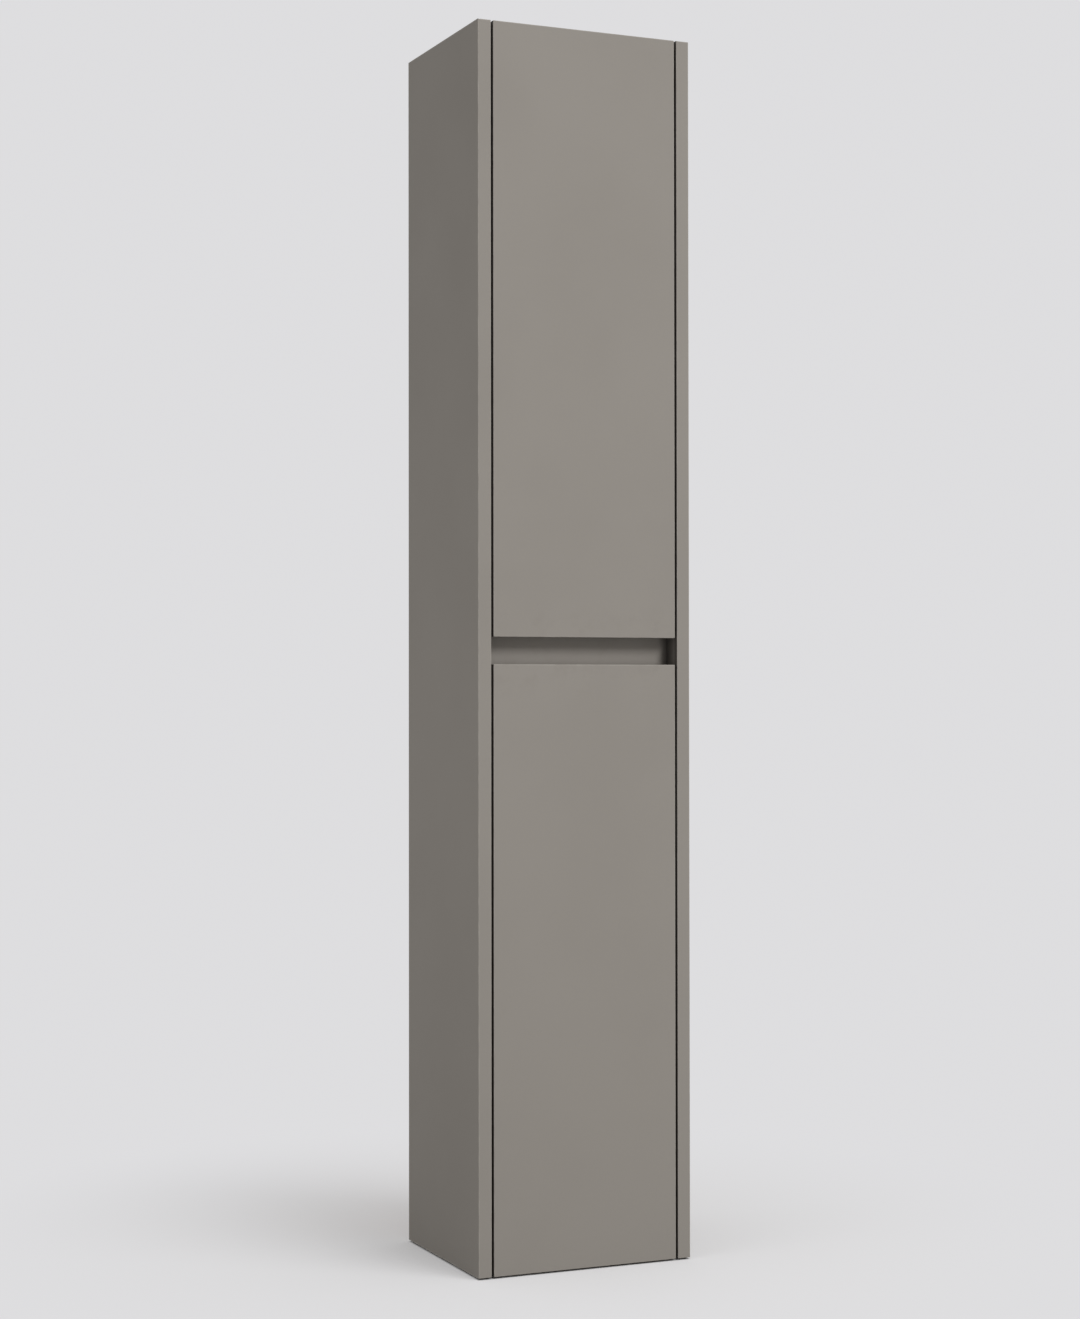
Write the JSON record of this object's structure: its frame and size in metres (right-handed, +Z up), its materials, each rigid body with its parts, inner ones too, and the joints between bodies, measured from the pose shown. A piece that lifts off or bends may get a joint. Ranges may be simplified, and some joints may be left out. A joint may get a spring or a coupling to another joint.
{
  "type": "wall-hung tall cabinet",
  "caption": "Narrow wall-hung tall cabinet with an upper and a lower hinged door, a finger recess between them, loose shelves and wall hooks.",
  "frame": {"origin": "centre of the four wall screws, on the wall plane", "axes": "+X to the cabinet's right seen from the front, +Y into the wall, +Z up; the doors face -Y"},
  "size_m": [0.3, 0.25, 1.6],
  "materials": {
    "lacquered_board": "matt taupe lacquer",
    "back_board": "matt taupe laminate",
    "nickelled_steel": "satin nickel plate",
    "spring_steel": "bright",
    "zinc_screw": "bright zinc plate",
    "zinc_casting": "dull die-cast",
    "grey_plastic": "fine-grained",
    "beech_dowel": "bare beech",
    "soft_pad": "soft matt"
  },
  "bodies": {
    "cabinet": {"arm_screws": "zinc_screw", "bottom_panel": "lacquered_board", "cam_bolts": "zinc_screw", "cam_caps": "grey_plastic", "cam_locks": "zinc_casting", "door_stops": "grey_plastic", "dowels": "beech_dowel", "handle_rail": "lacquered_board", "hanger_adjusters": "zinc_screw", "hanger_screws": "zinc_screw", "hinge_arm_lower_low": "nickelled_steel", "hinge_arm_lower_top": "nickelled_steel", "hinge_arm_upper_low": "nickelled_steel", "hinge_arm_upper_top": "nickelled_steel", "hinge_plate_lower_low": "nickelled_steel", "hinge_plate_lower_top": "nickelled_steel", "hinge_plate_upper_low": "nickelled_steel", "hinge_plate_upper_top": "nickelled_steel", "left_hanger_body": "zinc_casting", "left_hanger_cover": "grey_plastic", "left_hanger_hook": "zinc_screw", "left_side_panel": "lacquered_board", "lower_back_board": "back_board", "lower_shelf_1": "lacquered_board", "lower_shelf_2": "lacquered_board", "middle_shelf": "lacquered_board", "plate_screws": "zinc_screw", "right_hanger_body": "zinc_casting", "right_hanger_cover": "grey_plastic", "right_hanger_hook": "zinc_screw", "right_side_panel": "lacquered_board", "shelf_pins": "nickelled_steel", "stop_pads": "soft_pad", "top_panel": "lacquered_board", "upper_back_board": "back_board", "upper_shelf_1": "lacquered_board", "upper_shelf_2": "lacquered_board", "wall_plate_left": "zinc_screw", "wall_plate_right": "zinc_screw"},
    "upper_door": {"upper_door": "lacquered_board", "upper_hinge_pins": "spring_steel", "upper_cup_screws": "zinc_screw", "hinge_cup_upper_low": "nickelled_steel", "hinge_cup_upper_top": "nickelled_steel", "hinge_spring_upper_low": "spring_steel", "hinge_spring_upper_top": "spring_steel"},
    "lower_door": {"lower_door": "lacquered_board", "lower_hinge_pins": "spring_steel", "lower_cup_screws": "zinc_screw", "hinge_cup_lower_low": "nickelled_steel", "hinge_cup_lower_top": "nickelled_steel", "hinge_spring_lower_low": "spring_steel", "hinge_spring_lower_top": "spring_steel"}
  },
  "joints": [
    {"name": "upper_door_hinge", "type": "hinge", "parent": "cabinet", "child": "upper_door", "pos_m": [0.1203, -0.2424, -0.3355], "axis": [0, 0, 1], "range_deg": [0, 95]},
    {"name": "lower_door_hinge", "type": "hinge", "parent": "cabinet", "child": "lower_door", "pos_m": [0.1203, -0.2424, -1.153], "axis": [0, 0, 1], "range_deg": [0, 95]}
  ]
}
